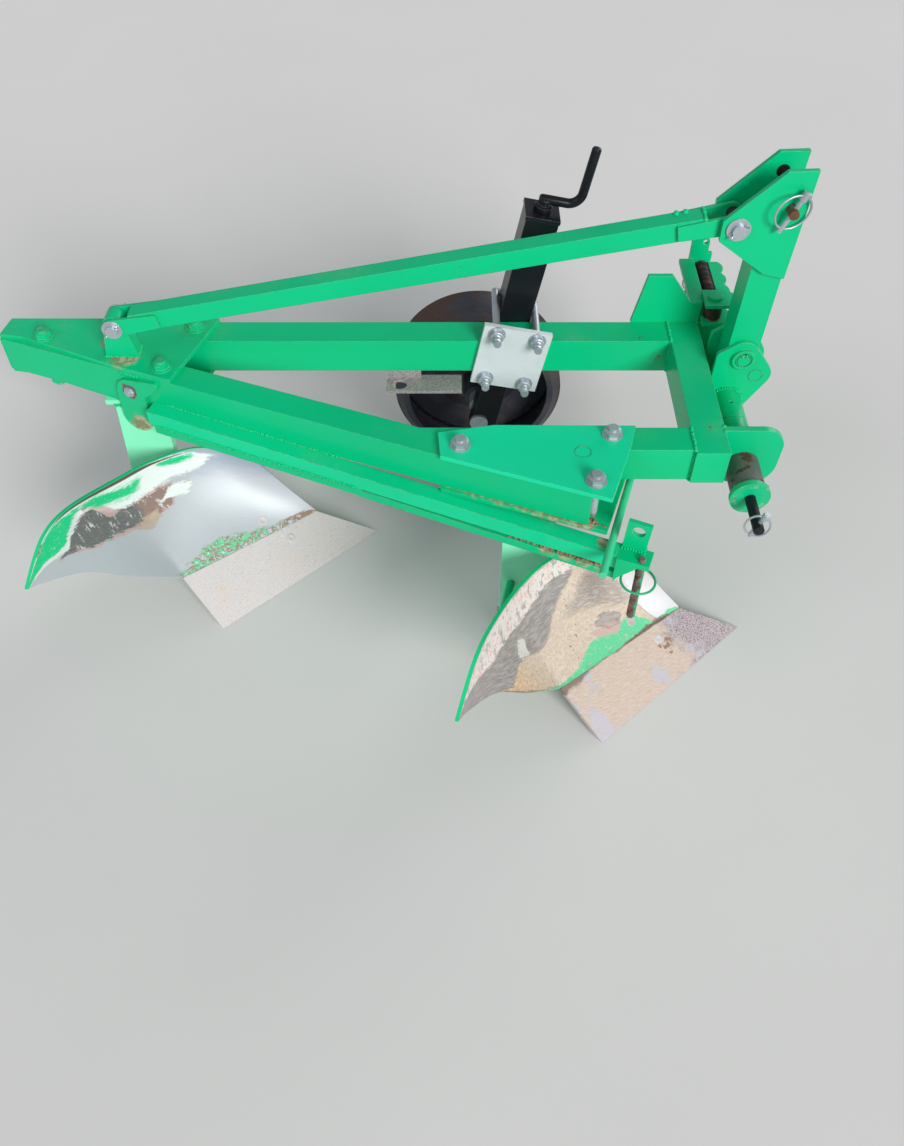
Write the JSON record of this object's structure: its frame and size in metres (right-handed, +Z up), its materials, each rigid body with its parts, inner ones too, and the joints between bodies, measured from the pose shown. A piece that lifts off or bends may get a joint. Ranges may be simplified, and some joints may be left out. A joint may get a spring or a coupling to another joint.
{
  "type": "moldboard plough",
  "caption": "Two-furrow mounted moldboard plough with a triangular tube frame, three-point headstock and a depth wheel on a screw column; tractor implement parked on its shares",
  "frame": {"origin": "on the ground under the middle of the plough's plan box", "axes": "+X is the direction of travel, +Y the land side (left), +Z up"},
  "size_m": [1.6794, 1.2404, 0.948],
  "materials": {
    "green_paint": "gloss green paint, chipped at the edges",
    "worn_steel": "soil-polished steel",
    "share_steel": "sandy cast share steel",
    "dark_steel": "black painted steel",
    "zinc": "zinc-plated steel",
    "rusty_steel": "rusty bare steel"
  },
  "bodies": {
    "frame": {"side_beam": "green_paint", "diagonal_beam": "green_paint", "cross_tube": "green_paint", "stub_tube": "green_paint", "front_gusset_top": "green_paint", "front_gusset_bottom": "green_paint", "rear_gusset_top": "green_paint", "rear_gusset_bottom": "green_paint", "frame_bolts": "zinc", "shaft_ear_right": "green_paint", "shaft_ear_left": "green_paint", "cross_shaft": "green_paint", "bush_right": "rusty_steel", "bush_left": "rusty_steel", "lower_pin_right": "dark_steel", "lower_pin_left": "dark_steel", "shaft_sleeves": "green_paint", "foot_cheek_right": "green_paint", "foot_cheek_left": "green_paint", "foot_pin": "green_paint", "post": "green_paint", "clevis_plate_right": "green_paint", "clevis_plate_left": "green_paint", "top_link_pin": "rusty_steel", "top_stay": "green_paint", "stay_pins": "zinc", "stay_rear_lug": "green_paint", "top_linch_pin": "zinc", "post_bracket": "green_paint", "adjuster_pin": "green_paint", "adjuster_spindle": "rusty_steel", "adjuster_channel": "green_paint", "adjuster_gusset": "green_paint", "side_rail": "green_paint", "lower_strip": "green_paint", "front_block": "green_paint", "block_pin": "dark_steel", "brace_rod": "green_paint", "rear_ear": "green_paint", "under_beam_bar": "share_steel", "front_leg": "green_paint", "rear_leg": "green_paint", "front_frog": "green_paint", "rear_frog": "green_paint", "front_share": "share_steel", "rear_share": "share_steel", "front_mouldboard": "worn_steel", "rear_mouldboard": "worn_steel", "front_landside": "share_steel", "rear_landside": "share_steel", "front_brace": "green_paint", "rear_brace": "green_paint", "column": "dark_steel", "column_clamp": "zinc", "column_ubolts": "zinc", "crank": "dark_steel"},
    "wheel_mast_body": {"wheel_mast": "dark_steel", "wheel_axle": "zinc"},
    "depth_wheel_body": {"depth_wheel": "dark_steel", "wheel_band": "dark_steel"}
  },
  "joints": [
    {"name": "depth_slide", "type": "slide", "parent": "frame", "child": "wheel_mast_body", "axis": [0.1908, 0, 0.9816], "range_m": [-0.05, 0.15]},
    {"name": "wheel_spin", "type": "hinge", "parent": "wheel_mast_body", "child": "depth_wheel_body", "pos_m": [0.22048, 0.49475, 0.21], "axis": [0, 1, 0], "continuous": true}
  ]
}
